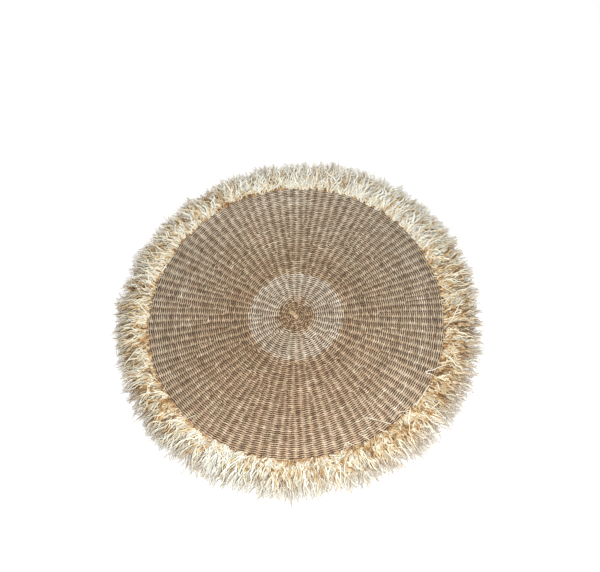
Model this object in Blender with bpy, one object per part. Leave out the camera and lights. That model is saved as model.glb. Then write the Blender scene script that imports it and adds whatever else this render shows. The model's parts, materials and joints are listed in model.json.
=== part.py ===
# A round rug: a mat of twined grass cord with a raffia fringe knotted all round its rim.
# Metres, +Z up. The origin is on the floor under the middle of the rug's outline. The rug lies flat.

import math
import random
from collections import namedtuple

import bmesh
import bpy
from mathutils import Matrix, Vector

RUG = "round_raffia_rug"

# The fringe is longer on one side, so the mat's middle isn't the outline's middle.
MAT_MIDDLE = Vector((0.002, 0.018, 0.0))

# The mat is twined outwards from a start knot, in rows of grass cord over radial spokes.
ROW_PITCH = 0.0088
ROWS = 70
MAT_RADIUS = ROW_PITCH * ROWS
MAT_THICKNESS = 0.010
SPOKES_AT_RIM = 104

# The mat's edge isn't a true circle, and its top isn't a true plane: waves round the rim.
Wave = namedtuple("Wave", "count height phase_deg")
EDGE_WAVES = (
    Wave(1, 0.0070, 95.0),
    Wave(2, 0.0035, 197.0),
    Wave(3, 0.0015, 133.0),
    Wave(5, 0.0020, 217.0),
    Wave(11, 0.0012, 10.0),
)
SWELL_WAVES = (
    Wave(3, 0.0005, 75.0),
    Wave(7, 0.0004, 200.0),
)

# Half of the mat's section, from the middle outwards and round the rim to the underside.
Ring = namedtuple("Ring", "radius_share height_share swell_share")
MAT_RINGS = (
    Ring(0.018, 1.00, 0.0),
    Ring(0.040, 1.00, 0.0),
    Ring(0.130, 1.00, 0.3),
    Ring(0.310, 1.00, 0.7),
    Ring(0.560, 1.00, 1.0),
    Ring(0.800, 1.00, 1.0),
    Ring(0.960, 1.00, 1.0),
    Ring(0.988, 0.92, 0.6),
    Ring(1.000, 0.55, 0.0),
    Ring(0.994, 0.00, 0.0),
)

# The start knot, an oval of twisted cord that stands a little proud of the mat's middle.
KNOT_MIDDLE = Vector((-0.008, 0.006))
KNOT_LENGTH = 0.045
KNOT_WIDTH = 0.018
KNOT_HEIGHT = 0.0025
KNOT_TURN = math.radians(-52)

# The roots of the fringe are fused into a strip that lies just outside the mat's rim.
STRIP_LENGTHS = 8
STRIP_GAP = 0.0004
STRIP_WIDTH = 0.009
STRIP_HEIGHT = 0.0085
STRIP_END_GAP = 0.0010

# A lower lock grows from the strip's outer side and an upper lock from its top, in turn.
SECTORS = 17 * STRIP_LENGTHS
LOWER_ROOT_SHARE = 0.58

# How far the longest strands reach past the mat's rim, by the direction seen from above.
Reach = namedtuple("Reach", "angle_deg length")
FRINGE_REACH = (
    Reach(0, 0.136),
    Reach(30, 0.138),
    Reach(60, 0.132),
    Reach(90, 0.121),
    Reach(120, 0.118),
    Reach(150, 0.125),
    Reach(180, 0.133),
    Reach(210, 0.152),
    Reach(240, 0.150),
    Reach(270, 0.151),
    Reach(300, 0.166),
    Reach(330, 0.158),
)
Spread = namedtuple("Spread", "least most")
LOWER_LENGTHS = Spread(0.82, 1.00)
UPPER_LENGTHS = Spread(0.68, 0.97)

# The locks lean to and fro along the rim, together in tufts and each a little by itself.
LEAN_WAVES = (
    Wave(5, 0.007, 0.0),
    Wave(9, 0.006, 110.0),
    Wave(17, 0.004, 30.0),
)
LOWER_OWN_LEAN = 0.009
UPPER_OWN_LEAN = 0.012
LEAN_GROWTH = 1.6
BEND = 0.0030
WIDTHS = Spread(0.78, 1.14)

# Sections of a lock from its root to its tip. A lower lock lies with its underside on the floor.
LowerStep = namedtuple("LowerStep", "share width_share thickness_share")
LOWER_STEPS = (
    LowerStep(0.25, 1.12, 1.00),
    LowerStep(0.55, 1.18, 0.95),
    LowerStep(0.84, 0.90, 0.70),
    LowerStep(1.00, 0.28, 0.35),
)
LOWER_WIDTH = 0.018
LOWER_THICKNESS = 0.0075
LOWER_CROWN_SHARE = 0.6

# An upper lock rises off the strip, arches over the lower locks and comes down towards its tip.
UpperStep = namedtuple("UpperStep", "share rise_share width_share thickness_share pitch_deg")
UPPER_STEPS = (
    UpperStep(0.01, 0.62, 0.85, 1.00, 48.0),
    UpperStep(0.20, 0.95, 1.15, 1.00, 14.0),
    UpperStep(0.48, 1.00, 1.25, 0.90, -6.0),
    UpperStep(0.80, 0.76, 0.95, 0.70, -18.0),
    UpperStep(1.00, 0.55, 0.28, 0.35, -20.0),
)
UPPER_WIDTH = 0.016
UPPER_THICKNESS = 0.0065
CREST_HEIGHTS = Spread(0.0195, 0.0295)
TIP_DROPS = Spread(-0.0035, 0.0035)

# Stray locks are longer strands that flop inwards and lie across the mat's edge.
Stray = namedtuple("Stray", "root_deg length turn_deg")
STRAY_LOCKS = (
    Stray(311.0, 0.108, -75.0),
    Stray(300.0, 0.120, -47.0),
    Stray(295.6, 0.056, -31.0),
    Stray(288.9, 0.050, -20.0),
    Stray(284.0, 0.052, -55.0),
    Stray(327.8, 0.050, -45.0),
    Stray(201.5, 0.036, -10.0),
    Stray(219.0, 0.038, 15.0),
    Stray(7.4, 0.040, -20.0),
)
StrayStep = namedtuple("StrayStep", "share lift width_share thickness_share pitch_deg")
STRAY_STEPS = (
    StrayStep(0.00, 0.0080, 0.55, 1.00, 50.0),
    StrayStep(0.32, 0.0050, 0.40, 0.80, -8.0),
    StrayStep(0.66, 0.0032, 0.32, 0.70, -3.0),
    StrayStep(1.00, 0.0026, 0.20, 0.45, 0.0),
)
STRAY_WIDTH = 0.012
STRAY_THICKNESS = 0.0035

# Colour and roughness of each finish, and the angle below which an edge looks smooth.
TWINED_GRASS = ((0.388, 0.279, 0.184, 1.0), 0.80)
RAFFIA = ((0.790, 0.690, 0.480, 1.0), 0.65)
SMOOTHED_BELOW = math.radians(50)

locks_random = random.Random(71)


def sum_of(waves, angle):
    """Add up a table of waves at an angle round the rug."""
    return sum(w.height * math.cos(w.count * angle + math.radians(w.phase_deg)) for w in waves)


def rim_radius(angle):
    """Radius of the mat's uneven edge in a direction."""
    return MAT_RADIUS + sum_of(EDGE_WAVES, angle)


def reach_at(angle):
    """Length of the longest strands in a direction, blended between the table's rows."""
    step = 360 / len(FRINGE_REACH)
    place = (math.degrees(angle) % 360) / step
    row = int(place) % len(FRINGE_REACH)
    blend = 0.5 - 0.5 * math.cos(math.pi * (place - int(place)))
    this, following = FRINGE_REACH[row], FRINGE_REACH[(row + 1) % len(FRINGE_REACH)]
    return this.length + (following.length - this.length) * blend


def polar(angle, radius, height):
    """Point at a direction, radius and height."""
    return Vector((radius * math.cos(angle), radius * math.sin(angle), height))


def knot_bump(x, y):
    """How far the start knot lifts the mat's top at a place near its middle."""
    across = Vector((x, y)) - KNOT_MIDDLE
    along_knot = across.x * math.cos(KNOT_TURN) + across.y * math.sin(KNOT_TURN)
    beside_knot = across.y * math.cos(KNOT_TURN) - across.x * math.sin(KNOT_TURN)
    distance = (2 * along_knot / KNOT_LENGTH) ** 2 + (2 * beside_knot / KNOT_WIDTH) ** 2
    return KNOT_HEIGHT * math.exp(-0.5 * distance)


def finish(name, bm, material, collection):
    """Turn a bmesh into a named object with its material, round the mat's middle."""
    bmesh.ops.recalc_face_normals(bm, faces=bm.faces)
    bmesh.ops.transform(bm, matrix=Matrix.Translation(MAT_MIDDLE), verts=bm.verts)
    mesh = bpy.data.meshes.new(name)
    bm.to_mesh(mesh)
    bm.free()
    mesh.materials.append(material)
    mesh.shade_smooth()
    mesh.set_sharp_from_angle(angle=SMOOTHED_BELOW)
    collection.objects.link(bpy.data.objects.new(name, mesh))


def cloth_material(name, colour, roughness):
    """Plain Principled material of a plant fibre."""
    material = bpy.data.materials.new(name)
    material.use_nodes = True
    shader = material.node_tree.nodes["Principled BSDF"]
    shader.inputs["Base Color"].default_value = colour
    shader.inputs["Roughness"].default_value = roughness
    shader.inputs["Metallic"].default_value = 0.0
    return material


def build_mat(material, collection):
    """Mat: its half section spun round the middle, then shaped to the uneven edge and top."""
    bm = bmesh.new()
    section = [bm.verts.new((ring.radius_share * MAT_RADIUS, 0, 0)) for ring in MAT_RINGS]
    edges = [bm.edges.new(pair) for pair in zip(section, section[1:])]
    bmesh.ops.spin(
        bm,
        geom=section + edges,
        cent=(0, 0, 0),
        axis=(0, 0, 1),
        angle=math.tau,
        steps=SPOKES_AT_RIM,
        use_merge=True,
    )
    rims = {ring: [] for ring in MAT_RINGS}
    for vert in bm.verts:
        share = vert.co.xy.length / MAT_RADIUS
        ring = min(MAT_RINGS, key=lambda ring: abs(ring.radius_share - share))
        rims[ring].append(vert)
        angle = math.atan2(vert.co.y, vert.co.x)
        radius = ring.radius_share * rim_radius(angle)
        height = ring.height_share * MAT_THICKNESS + ring.swell_share * sum_of(SWELL_WAVES, angle)
        vert.co = polar(angle, radius, height)
        vert.co.z += knot_bump(vert.co.x, vert.co.y)
    middle = bm.verts.new((0, 0, MAT_THICKNESS + knot_bump(0, 0)))
    for ring, top in ((MAT_RINGS[0], True), (MAT_RINGS[-1], False)):
        loop = sorted(rims[ring], key=lambda vert: math.atan2(vert.co.y, vert.co.x))
        if not top:
            for vert in loop:
                vert.co.z = 0
            bm.faces.new(loop)
            continue
        for one, other in zip(loop, loop[1:] + loop[:1]):
            bm.faces.new((middle, one, other))
    finish("mat", bm, material, collection)


def grow_lock(bm, root, sections):
    """Extrude a root face through the four corners of each section in turn."""
    face = root
    for corners in sections:
        face = bmesh.ops.extrude_discrete_faces(bm, faces=[face])["faces"][0]
        for vert, corner in zip(face.verts, corners):
            vert.co = corner


def draw(spread):
    """Draw one value between the ends of a spread."""
    return locks_random.uniform(spread.least, spread.most)


def sideways(angle, own_lean):
    """Path of a lock along the rim, by the share of its length: its lean and a slight bend."""
    lean = sum_of(LEAN_WAVES, angle) + locks_random.uniform(-own_lean, own_lean)
    bend = locks_random.uniform(-BEND, BEND)
    return lambda share: lean * share**LEAN_GROWTH + bend * math.sin(math.tau * share)


def lower_sections(angle):
    """Sections of a lock that lies on the floor, from the strip's outer side."""
    start = rim_radius(angle) + STRIP_GAP + STRIP_WIDTH
    end = rim_radius(angle) + reach_at(angle) * draw(LOWER_LENGTHS)
    width = LOWER_WIDTH * draw(WIDTHS)
    path = sideways(angle, LOWER_OWN_LEAN)
    outward = polar(angle, 1, 0)
    along = polar(angle + math.pi / 2, 1, 0)
    for step in LOWER_STEPS:
        middle = outward * (start + (end - start) * step.share) + along * path(step.share)
        side = along * width * step.width_share / 2
        crown = side * LOWER_CROWN_SHARE
        top = Vector((0, 0, LOWER_THICKNESS * step.thickness_share))
        yield middle - side, middle + side, middle + crown + top, middle - crown + top


def upper_sections(angle):
    """Sections of a lock that arches over the lower ones, from the strip's top."""
    start = rim_radius(angle) + STRIP_GAP + STRIP_WIDTH
    end = rim_radius(angle) + reach_at(angle) * draw(UPPER_LENGTHS)
    width = UPPER_WIDTH * draw(WIDTHS)
    crest = draw(CREST_HEIGHTS)
    tip_drop = draw(TIP_DROPS)
    path = sideways(angle, UPPER_OWN_LEAN)
    outward = polar(angle, 1, 0)
    along = polar(angle + math.pi / 2, 1, 0)
    for step in UPPER_STEPS:
        pitch = math.radians(step.pitch_deg)
        over = (Vector((0, 0, math.cos(pitch))) - outward * math.sin(pitch)) * (
            UPPER_THICKNESS * step.thickness_share / 2
        )
        middle = outward * (start + (end - start) * step.share) + along * path(step.share)
        middle.z = crest * step.rise_share - tip_drop * step.share**2
        side = along * width * step.width_share / 2
        yield middle - side + over, middle - side - over, middle + side - over, middle + side + over


def stray_sections(stray, angle):
    """Sections of a lock that flops inwards over the mat, from the strip's top."""
    start = rim_radius(angle) + STRIP_GAP + STRIP_WIDTH / 2
    outward = polar(angle, 1, 0)
    along = polar(angle + math.pi / 2, 1, 0)
    for step in STRAY_STEPS:
        pitch = math.radians(step.pitch_deg)
        turn = math.radians(stray.turn_deg) * step.share
        over = (Vector((0, 0, math.cos(pitch))) + outward * math.sin(pitch)) * (
            STRAY_THICKNESS * step.thickness_share / 2
        )
        travel = stray.length * step.share
        middle = outward * (start - travel * math.cos(turn)) + along * travel * math.sin(turn)
        middle.z = MAT_THICKNESS + step.lift
        side = (along * math.cos(turn) + outward * math.sin(turn)) * STRAY_WIDTH * step.width_share / 2
        yield middle - side - over, middle - side + over, middle + side + over, middle + side - over


def build_fringe(number, material, collection):
    """One length of the backing strip with the locks that grow from it."""
    per_length = SECTORS // STRIP_LENGTHS
    first = number * per_length
    sector = math.tau / SECTORS
    end_gap = STRIP_END_GAP / MAT_RADIUS
    stations = [
        (first + place + share) * sector for place in range(per_length) for share in (0, LOWER_ROOT_SHARE)
    ]
    stations.append((first + per_length) * sector - end_gap)
    bm = bmesh.new()
    corners = []
    for angle in stations:
        inner = rim_radius(angle) + STRIP_GAP
        outer = inner + STRIP_WIDTH
        profile = ((inner, 0), (outer, 0), (outer, STRIP_HEIGHT), (inner, STRIP_HEIGHT))
        corners.append([bm.verts.new(polar(angle, radius, height)) for radius, height in profile])
    bm.faces.new(corners[0])
    bm.faces.new(reversed(corners[-1]))
    outsides, tops = [], []
    for this, following in zip(corners, corners[1:]):
        bm.faces.new((this[1], this[0], following[0], following[1]))
        bm.faces.new((this[0], this[3], following[3], following[0]))
        outsides.append(bm.faces.new((this[1], following[1], following[2], this[2])))
        tops.append(bm.faces.new((this[3], this[2], following[2], following[3])))
    for place in range(per_length):
        start, split = stations[2 * place], stations[2 * place + 1]
        following = (first + place + 1) * sector
        lower_angle = (start + split) / 2
        upper_angle = (split + following) / 2
        grow_lock(bm, outsides[2 * place], lower_sections(lower_angle))
        grow_lock(bm, tops[2 * place + 1], upper_sections(upper_angle))
        for stray in STRAY_LOCKS:
            if start <= math.radians(stray.root_deg) < following:
                grow_lock(bm, tops[2 * place], stray_sections(stray, lower_angle))
    finish(f"fringe_{number + 1}", bm, material, collection)


for old in list(bpy.data.objects):
    bpy.data.objects.remove(old, do_unlink=True)

rug = bpy.data.collections.new(RUG)
bpy.context.scene.collection.children.link(rug)

build_mat(cloth_material("twined_grass", *TWINED_GRASS), rug)
raffia = cloth_material("raffia", *RAFFIA)
for length_number in range(STRIP_LENGTHS):
    build_fringe(length_number, raffia, rug)
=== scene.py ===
"""Looks of a round raffia rug: a mat of twined grass cord with a shaggy raffia fringe, on a pale floor."""

import json
import math
import random
from collections import namedtuple
from functools import partial

import bpy
from mathutils import Matrix, Vector

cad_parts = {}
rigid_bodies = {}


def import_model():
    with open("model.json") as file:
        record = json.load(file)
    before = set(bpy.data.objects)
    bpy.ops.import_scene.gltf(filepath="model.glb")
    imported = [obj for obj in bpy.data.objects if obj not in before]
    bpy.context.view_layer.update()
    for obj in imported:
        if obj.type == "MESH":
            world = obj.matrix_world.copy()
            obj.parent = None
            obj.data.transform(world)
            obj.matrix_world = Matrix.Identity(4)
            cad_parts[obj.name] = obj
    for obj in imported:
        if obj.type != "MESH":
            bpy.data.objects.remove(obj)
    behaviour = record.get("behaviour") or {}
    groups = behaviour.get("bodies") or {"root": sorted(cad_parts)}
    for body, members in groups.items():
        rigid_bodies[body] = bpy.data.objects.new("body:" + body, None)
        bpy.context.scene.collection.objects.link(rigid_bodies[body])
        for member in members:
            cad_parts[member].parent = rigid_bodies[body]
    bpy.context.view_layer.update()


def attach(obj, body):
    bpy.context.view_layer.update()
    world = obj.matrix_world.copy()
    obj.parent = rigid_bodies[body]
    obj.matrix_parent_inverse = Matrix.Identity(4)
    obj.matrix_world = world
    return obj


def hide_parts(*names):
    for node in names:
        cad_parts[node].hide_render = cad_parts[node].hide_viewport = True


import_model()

# Camera. It stands in front of the rug, looks down on it steeply, and is turned a little on its axis.
MAT_MIDDLE = Vector((0.002, 0.018, 0.0))
MAT_RADIUS = 0.616
PICTURE_WIDTH_PX = 600
FOCAL_LENGTH_PX = 1272
SENSOR_WIDTH_MM = 36.0
VIEW_ELEVATION = math.radians(62.06)
VIEW_ROLL = math.radians(9.02)
VIEW_DISTANCE = 8.541 * MAT_RADIUS
VIEW_AIM = MAT_MIDDLE + MAT_RADIUS * Vector((0.061, 0.220, 0.0))

lens = bpy.data.cameras.new("camera")
lens.sensor_fit = "HORIZONTAL"
lens.sensor_width = SENSOR_WIDTH_MM
lens.lens = SENSOR_WIDTH_MM * FOCAL_LENGTH_PX / PICTURE_WIDTH_PX
camera = bpy.data.objects.new("camera", lens)
bpy.context.scene.collection.objects.link(camera)
across_view = Vector((1.0, 0.0, 0.0))
up_view = Vector((0.0, math.sin(VIEW_ELEVATION), math.cos(VIEW_ELEVATION)))
back_view = across_view.cross(up_view)
camera_right = across_view * math.cos(VIEW_ROLL) - up_view * math.sin(VIEW_ROLL)
camera_up = across_view * math.sin(VIEW_ROLL) + up_view * math.cos(VIEW_ROLL)
turned_view = Matrix((camera_right, camera_up, back_view)).transposed()
camera.matrix_world = Matrix.Translation(VIEW_AIM + back_view * VIEW_DISTANCE) @ turned_view.to_4x4()
bpy.context.scene.camera = camera

# Studio. A soft light stands in front of the rug, a little to the right, and a wider one behind it, in a
# white room. The picture keeps plain colours, with no film look.
SoftLight = namedtuple("SoftLight", "name place width watts")
SOFT_LIGHTS = (
    SoftLight("front_softbox", Vector((0.5, -2.1, 2.4)), 1.2, 190.0),
    SoftLight("back_softbox", Vector((0.0, 2.9, 2.8)), 2.0, 120.0),
)
ROOM_BRIGHTNESS = 0.42

for light in SOFT_LIGHTS:
    lamp = bpy.data.lights.new(light.name, "AREA")
    lamp.size = light.width
    lamp.energy = light.watts
    holder = bpy.data.objects.new(light.name, lamp)
    holder.location = light.place
    holder.rotation_euler = (MAT_MIDDLE - light.place).to_track_quat("-Z", "Y").to_euler()
    bpy.context.scene.collection.objects.link(holder)
room = bpy.data.worlds.new("white_room")
room.use_nodes = True
room.node_tree.nodes["Background"].inputs["Color"].default_value = (1.0, 1.0, 1.0, 1.0)
room.node_tree.nodes["Background"].inputs["Strength"].default_value = ROOM_BRIGHTNESS
bpy.context.scene.world = room
bpy.context.scene.view_settings.view_transform = "Standard"

# Floor. A plain matt board painted off-white, wide enough to run past every view.
FLOOR_WIDTH = 24.0
FLOOR_WHITE = "#D2D2D2"
BRUSH_MARK = 0.040


def linear(hex_colour):
    """Turn an sRGB hex colour into the linear colour that a shader takes."""
    shares = [int(hex_colour[place : place + 2], 16) / 255 for place in (1, 3, 5)]
    return (*(s / 12.92 if s <= 0.04045 else ((s + 0.055) / 1.055) ** 2.4 for s in shares), 1.0)


def add_node(tree, kind, inputs=(), **settings):
    """Add a node, give it its settings, and set or link its inputs, in their order or by identifier."""
    node = tree.nodes.new(kind)
    for setting, value in settings.items():
        setattr(node, setting, value)
    shown = [socket for socket in node.inputs if socket.enabled]
    if isinstance(inputs, dict):
        shown = [next(s for s in node.inputs if s.identifier == label) for label in inputs]
        inputs = inputs.values()
    for socket, value in zip(shown, inputs):
        if isinstance(value, bpy.types.Node):
            value = next(s for s in value.outputs if s.enabled)
        if isinstance(value, bpy.types.NodeSocket):
            tree.links.new(value, socket)
        else:
            socket.default_value = value
    return node


def new_material(name, roughness):
    """New Principled material with a plant fibre's IOR: the material, its tree and its shader."""
    material = bpy.data.materials.new(name)
    material.use_nodes = True
    shader = material.node_tree.nodes["Principled BSDF"]
    shader.inputs["Roughness"].default_value = roughness
    shader.inputs["IOR"].default_value = 1.46
    return material, material.node_tree, shader


def new_piece(name, points, edges, faces):
    """New mesh object in the scene."""
    mesh = bpy.data.meshes.new(name)
    mesh.from_pydata(points, edges, faces)
    piece = bpy.data.objects.new(name, mesh)
    bpy.context.scene.collection.objects.link(piece)
    return piece


half = FLOOR_WIDTH / 2
corners = [(-half, -half, 0), (half, -half, 0), (half, half, 0), (-half, half, 0)]
floor = new_piece("floor", corners, [], [(0, 1, 2, 3)])
floor_paint, tree, shader = new_material("matt_off_white_paint", 0.85)
shader.inputs["Base Color"].default_value = linear(FLOOR_WHITE)
place = add_node(tree, "ShaderNodeTexCoord").outputs["Object"]
marks = add_node(tree, "ShaderNodeTexNoise", {"Vector": place, "Scale": 1 / BRUSH_MARK})
bump = add_node(tree, "ShaderNodeBump", {"Height": marks, "Strength": 0.02, "Distance": 0.001})
tree.links.new(bump.outputs["Normal"], shader.inputs["Normal"])
floor.data.materials.append(floor_paint)

# Mat core. Where strands and spokes press together the mat is closed, and only shade shows between the
# stitches. A thin round sheet stands for these inner faces, with the mat's uneven edge: its near-black brown
# is painted shade, over a faint tuft texture of grass fibre.
Wave = namedtuple("Wave", "count height phase_deg")
EDGE_WAVES = (
    Wave(1, 0.0070, 95.0),
    Wave(2, 0.0035, 197.0),
    Wave(3, 0.0015, 133.0),
    Wave(5, 0.0020, 217.0),
    Wave(11, 0.0012, 10.0),
)
CORE_HEIGHTS = (0.0042, 0.0058)
CORE_SHARE = 0.990
CORE_STEPS = 104
CORE_RINGS = 12
# Near-black: painted shade between the stitches.
CORE_PAINTED_SHADES = ((0.0, "#120C08"), (1.0, "#281C13"))
FIBRE_TUFT = 0.012


def wave_sum(waves, angle):
    """Height of a table of waves in a direction."""
    return sum(w.height * math.cos(w.count * angle + math.radians(w.phase_deg)) for w in waves)


def rim_radius(angle):
    """Radius of the mat's uneven edge in a direction."""
    return MAT_RADIUS + wave_sum(EDGE_WAVES, angle)


def beside_middle(angle, radius, height):
    """Point at a direction and radius from the mat's middle."""
    return MAT_MIDDLE + Vector((radius * math.cos(angle), radius * math.sin(angle), height))


def fan_and_rings(first):
    """Faces of one side of the core: a fan round its middle point, and rings of faces round that."""
    for step in range(CORE_STEPS):
        following = (step + 1) % CORE_STEPS
        yield first, first + 1 + step, first + 1 + following
        for ring in range(CORE_RINGS - 1):
            inner = first + 1 + ring * CORE_STEPS
            outer = inner + CORE_STEPS
            yield inner + step, outer + step, outer + following, inner + following


def shade_ramp(tree, value, shades):
    """Colour ramp through a table of shades."""
    ramp = add_node(tree, "ShaderNodeValToRGB", {"Fac": value})
    stops = ramp.color_ramp.elements
    while len(stops) < len(shades):
        stops.new(1.0)
    for stop, (share, shade) in zip(stops, shades):
        stop.position = share
        stop.color = linear(shade)
    return ramp.outputs["Color"]


points, faces = [], []
for height in CORE_HEIGHTS:
    first = len(points)
    points.append(MAT_MIDDLE + Vector((0, 0, height)))
    for ring in range(1, CORE_RINGS + 1):
        for step in range(CORE_STEPS):
            angle = math.tau * step / CORE_STEPS
            points.append(beside_middle(angle, rim_radius(angle) * CORE_SHARE * ring / CORE_RINGS, height))
    faces += [face if height == CORE_HEIGHTS[1] else face[::-1] for face in fan_and_rings(first)]
low_edge = 1 + (CORE_RINGS - 1) * CORE_STEPS
for step in range(CORE_STEPS):
    this, following = low_edge + step, low_edge + (step + 1) % CORE_STEPS
    faces.append((this, following, first + following, first + this))
mat_core = new_piece("mat_core", points, [], faces)
# The sheet's colour is painted shade.
core_shade_material, tree, shader = new_material("pressed_grass_fibre", 0.90)
place = add_node(tree, "ShaderNodeTexCoord").outputs["Object"]
tufts = add_node(tree, "ShaderNodeTexNoise", {"Vector": place, "Scale": 1 / FIBRE_TUFT, "Detail": 6.0})
tree.links.new(shade_ramp(tree, tufts, CORE_PAINTED_SHADES), shader.inputs["Base Color"])
bump = add_node(tree, "ShaderNodeBump", {"Height": tufts, "Strength": 0.6, "Distance": 0.001})
tree.links.new(bump.outputs["Normal"], shader.inputs["Normal"])
mat_core.data.materials.append(core_shade_material)
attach(mat_core, "root")
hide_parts("mat")

# Spokes. Straight brown grass cords that run from the middle to the rim inside the rows, and show a little
# in the gaps between them. More are laid in as the gaps widen, and their neighbours bend aside for them.
ROW_PITCH = 0.0088
ROWS = 70
SpokeCount = namedtuple("SpokeCount", "row spokes")
SPOKE_COUNTS = (
    SpokeCount(0, 8),
    SpokeCount(5, 16),
    SpokeCount(10, 27),
    SpokeCount(18, 38),
    SpokeCount(25, 52),
    SpokeCount(32, 64),
    SpokeCount(38, 80),
    SpokeCount(45, 94),
    SpokeCount(52, 104),
)
SPREAD_PER_ROW = 0.15
SPOKE_CORD = {"Width": 0.0040, "Height": 0.0040, "Sides": 6}
SPOKE_HEIGHT = 0.0052
SPOKE_TONES = (0.06, 0.17)
SPOKE_STRIDE = 4
CORD_TWIST = 0.013
FIBRE_WIDTH = 0.0012
Patch = namedtuple("Patch", "number width strength colour")
GRASS_SHADES = (
    (0.00, "#2A1F16"),
    (0.05, "#64513E"),
    (0.25, "#A99C88"),
    (0.49, "#D3D1C7"),
    (0.51, "#7A756C"),
    (0.75, "#B0AFA9"),
    (1.00, "#D1D3D2"),
)
GRASS_PATCHES = (
    Patch(1.0, 0.036, 0.32, "#E8CFC0"),
    Patch(2.0, 0.060, 0.30, "#D6DACF"),
    Patch(3.0, 0.022, 0.30, "#D0B998"),
    Patch(4.0, 0.007, 0.55, "#9C8C78"),
)
Fade = namedtuple("Fade", "operation vector start end colour")
GRASS_FADES_AND_PAINTED_SHADE = (
    Fade("DISTANCE", MAT_MIDDLE, 0.05, 0.55, "#FDF3E4"),
    Fade("DOT_PRODUCT", (0.5, 0.87, 0.0), -0.55, 0.55, "#FFF0E2"),
    # The last two are painted shade: they darken the mat's left and right sides.
    Fade("DOT_PRODUCT", (-0.94, -0.34, 0.0), -0.60, -0.25, "#EAE8E4"),
    Fade("DOT_PRODUCT", (0.97, -0.26, 0.0), -0.60, -0.25, "#E9EBEB"),
)
spoke_random = random.Random(17)


def spokes_wanted(row):
    """How many spokes a row crosses, blended between the table's rows."""
    for this, following in zip(SPOKE_COUNTS, SPOKE_COUNTS[1:]):
        if this.row <= row < following.row:
            share = (row - this.row) / (following.row - this.row)
            return round(this.spokes + share * (following.spokes - this.spokes))
    return SPOKE_COUNTS[-1].spokes


def lay_spokes():
    """Number and direction of each spoke, row by row. A newcomer goes into the widest gap."""
    order = list(range(SPOKE_COUNTS[0].spokes))
    angles = {spoke: math.tau * (spoke + spoke_random.uniform(0, 0.3)) / len(order) for spoke in order}
    rows = []
    for row in range(ROWS):
        while len(order) < spokes_wanted(row):
            gaps = [(angles[b] - angles[a]) % math.tau for a, b in zip(order, order[1:] + order[:1])]
            widest = gaps.index(max(gaps))
            newcomer = len(order)
            angles[newcomer] = angles[order[widest]] + gaps[widest] * spoke_random.uniform(0.42, 0.58)
            order.insert(widest + 1, newcomer)
        pulls = {}
        for before, spoke, after in zip(order[-1:] + order[:-1], order, order[1:] + order[:1]):
            to_before = (angles[spoke] - angles[before]) % math.tau
            to_after = (angles[after] - angles[spoke]) % math.tau
            pulls[spoke] = (to_after - to_before) / 2 * SPREAD_PER_ROW
        for spoke in order:
            angles[spoke] += pulls[spoke]
        rows.append([(spoke, angles[spoke]) for spoke in order])
    return rows


def row_radius(turns, angle):
    """Radius of the middle of a row after so many turns of the spiral."""
    return (turns + 0.5) * ROW_PITCH * rim_radius(angle) / MAT_RADIUS


def chain(count, first=0):
    """Edges that join points one after the other."""
    return [(point, point + 1) for point in range(first, first + count - 1)]


def guide_line(name, points, edges, **values):
    """Guide for a tree: points, the edges that join them, and a number or a vector for each point."""
    guide = new_piece(name, points, edges, [])
    for label, numbers in values.items():
        kind = "FLOAT_VECTOR" if isinstance(numbers[0], Vector) else "FLOAT"
        attribute = guide.data.attributes.new(label, kind, "POINT")
        for item, number in zip(attribute.data, numbers):
            setattr(item, "vector" if kind == "FLOAT_VECTOR" else "value", number)
    return guide


def new_tree(name, **inputs):
    """New Geometry Nodes tree with inputs named by their kind: the tree and the sockets of its inputs."""
    tree = bpy.data.node_groups.new(name, "GeometryNodeTree")
    for kind, labels in {"Geometry": ["Geometry"], **inputs}.items():
        for label in labels:
            tree.interface.new_socket(label, in_out="INPUT", socket_type=f"NodeSocket{kind}")
    tree.interface.new_socket("Geometry", in_out="OUTPUT", socket_type="NodeSocketGeometry")
    return tree, add_node(tree, "NodeGroupInput").outputs


def end_tree(tree, shape, finish):
    """Close a tree: its instances made real, one finish, out."""
    shape = add_node(tree, "GeometryNodeRealizeInstances", (shape,))
    shape = add_node(tree, "GeometryNodeSetMaterial", (shape, True, finish))
    add_node(tree, "NodeGroupOutput", (shape,))
    return tree


def sweep(tree, line, given, thickness):
    """Sweep an oval section along a line, and keep each point's place in the section."""
    add = partial(add_node, tree)
    ring = add("GeometryNodeCurvePrimitiveCircle", {"Resolution": given["Sides"], "Radius": 0.5})
    size = add("ShaderNodeCombineXYZ", (given["Width"], given["Height"], 1.0))
    ring = add("GeometryNodeTransform", {"Geometry": ring, "Scale": size})
    place = add("GeometryNodeInputPosition")
    ring = add("GeometryNodeStoreNamedAttribute", (ring, True, "section", place), data_type="FLOAT_VECTOR")
    shape = add("GeometryNodeCurveToMesh", (line, ring, thickness, True))
    return add("GeometryNodeSetShadeSmooth", (shape,))


def cord_tree():
    """A cord along each guide line, as thick at each point as the guide's thickness says."""
    tree, given = new_tree("plain_cord", Float=["Width", "Height"], Int=["Sides"], Material=["Finish"])
    add = partial(add_node, tree)
    line = add("GeometryNodeMeshToCurve", (given["Geometry"],))
    line = add("GeometryNodeSetCurveNormal", (line,), mode="Z_UP")
    thickness = add("GeometryNodeInputNamedAttribute", ("thickness",))
    return end_tree(tree, sweep(tree, line, given, thickness), given["Finish"])


def made_by(tree, name, guide, **inputs):
    """Run a tree on a guide and keep what it makes as a plain mesh object."""
    modifier = guide.modifiers.new(tree.name, "NODES")
    modifier.node_group = tree
    for socket in tree.interface.items_tree:
        if socket.name in inputs:
            modifier[socket.identifier] = inputs[socket.name]
    graph = bpy.context.evaluated_depsgraph_get()
    mesh = bpy.data.meshes.new_from_object(guide.evaluated_get(graph))
    bpy.data.objects.remove(guide)
    mesh.name = name
    piece = bpy.data.objects.new(name, mesh)
    bpy.context.scene.collection.objects.link(piece)
    return piece


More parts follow.
